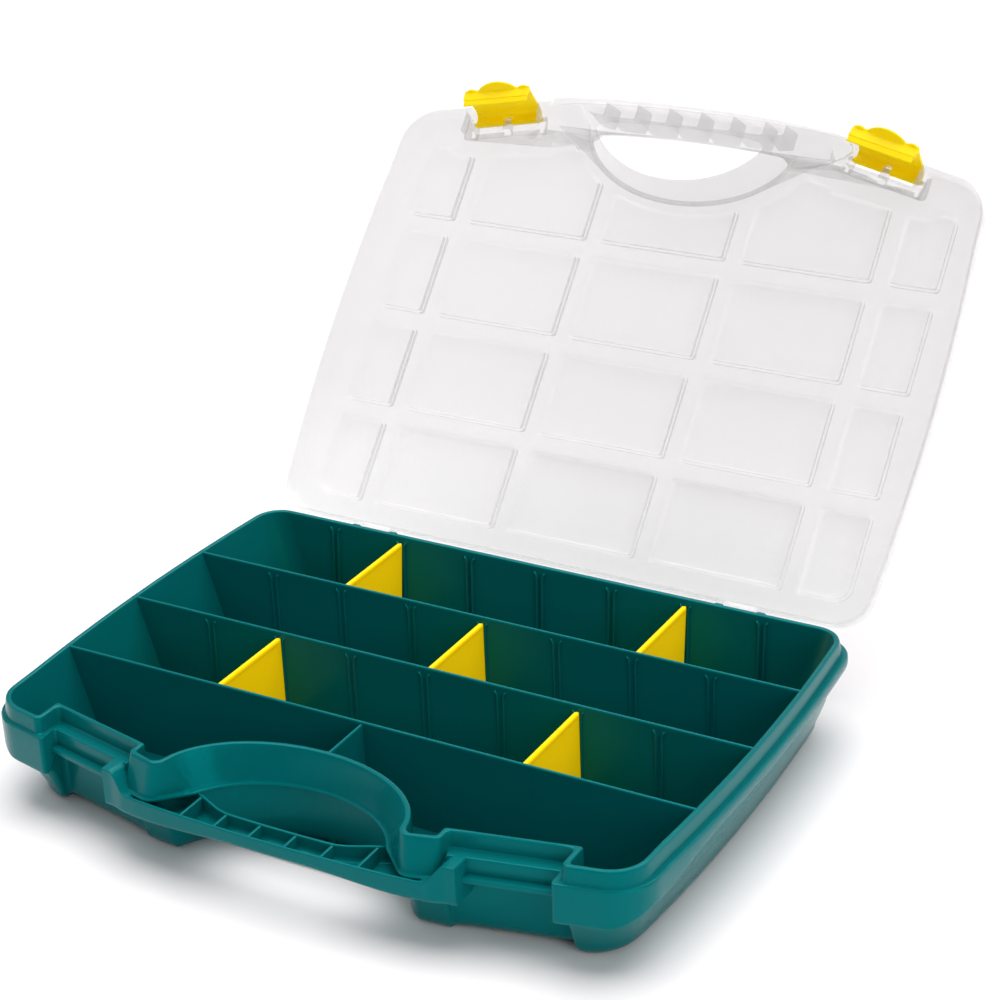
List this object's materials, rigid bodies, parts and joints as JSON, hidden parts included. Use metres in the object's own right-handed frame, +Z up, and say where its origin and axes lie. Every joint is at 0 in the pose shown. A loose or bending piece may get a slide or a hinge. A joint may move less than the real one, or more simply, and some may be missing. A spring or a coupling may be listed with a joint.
{
  "type": "parts organizer case",
  "caption": "Flat compartment tray with a clear hinged lid, swinging latches, lift-out dividers and a carrying handle, for sorting small parts.",
  "frame": {"origin": "on the underside of the tray, on the centre line of the middle long wall", "axes": "+X to the case's right, +Y to the hinge at the back, +Z up; the handle is at -Y"},
  "size_m": [0.375, 0.4767, 0.2612],
  "materials": {
    "tray": "moulded polypropylene, satin gloss",
    "lid": "clear moulded polypropylene",
    "latch": "moulded polypropylene, satin gloss",
    "divider": "moulded polypropylene, satin gloss"
  },
  "bodies": {
    "tray": {"tray": "tray"},
    "lid": {"lid": "lid"},
    "latch_left": {"latch_left": "latch"},
    "latch_right": {"latch_right": "latch"},
    "divider_back_left": {"divider_back_left": "divider"},
    "divider_back_right": {"divider_back_right": "divider"},
    "divider_middle": {"divider_middle": "divider"},
    "divider_front_left": {"divider_front_left": "divider"},
    "divider_front_right": {"divider_front_right": "divider"}
  },
  "joints": [
    {"name": "lid_hinge", "type": "hinge", "parent": "tray", "child": "lid", "pos_m": [0, 0.1313, 0.0461], "axis": [-1, 0, 0], "range_deg": [-132, 0]},
    {"name": "latch_left_hinge", "type": "hinge", "parent": "lid", "child": "latch_left", "pos_m": [-0.11778, 0.31143, 0.23285], "axis": [-0.9781, -0.1391, -0.1545], "range_deg": [-10, 80]},
    {"name": "latch_right_hinge", "type": "hinge", "parent": "lid", "child": "latch_right", "pos_m": [0.11778, 0.31143, 0.23285], "axis": [-0.9781, 0.1391, 0.1545], "range_deg": [-10, 80]},
    {"name": "divider_back_left_lift", "type": "slide", "parent": "tray", "child": "divider_back_left", "axis": [0, 0, 1], "range_m": [0, 0.055]},
    {"name": "divider_back_right_lift", "type": "slide", "parent": "tray", "child": "divider_back_right", "axis": [0, 0, 1], "range_m": [0, 0.055]},
    {"name": "divider_middle_lift", "type": "slide", "parent": "tray", "child": "divider_middle", "axis": [0, 0, 1], "range_m": [0, 0.055]},
    {"name": "divider_front_left_lift", "type": "slide", "parent": "tray", "child": "divider_front_left", "axis": [0, 0, 1], "range_m": [0, 0.055]},
    {"name": "divider_front_right_lift", "type": "slide", "parent": "tray", "child": "divider_front_right", "axis": [0, 0, 1], "range_m": [0, 0.055]}
  ]
}
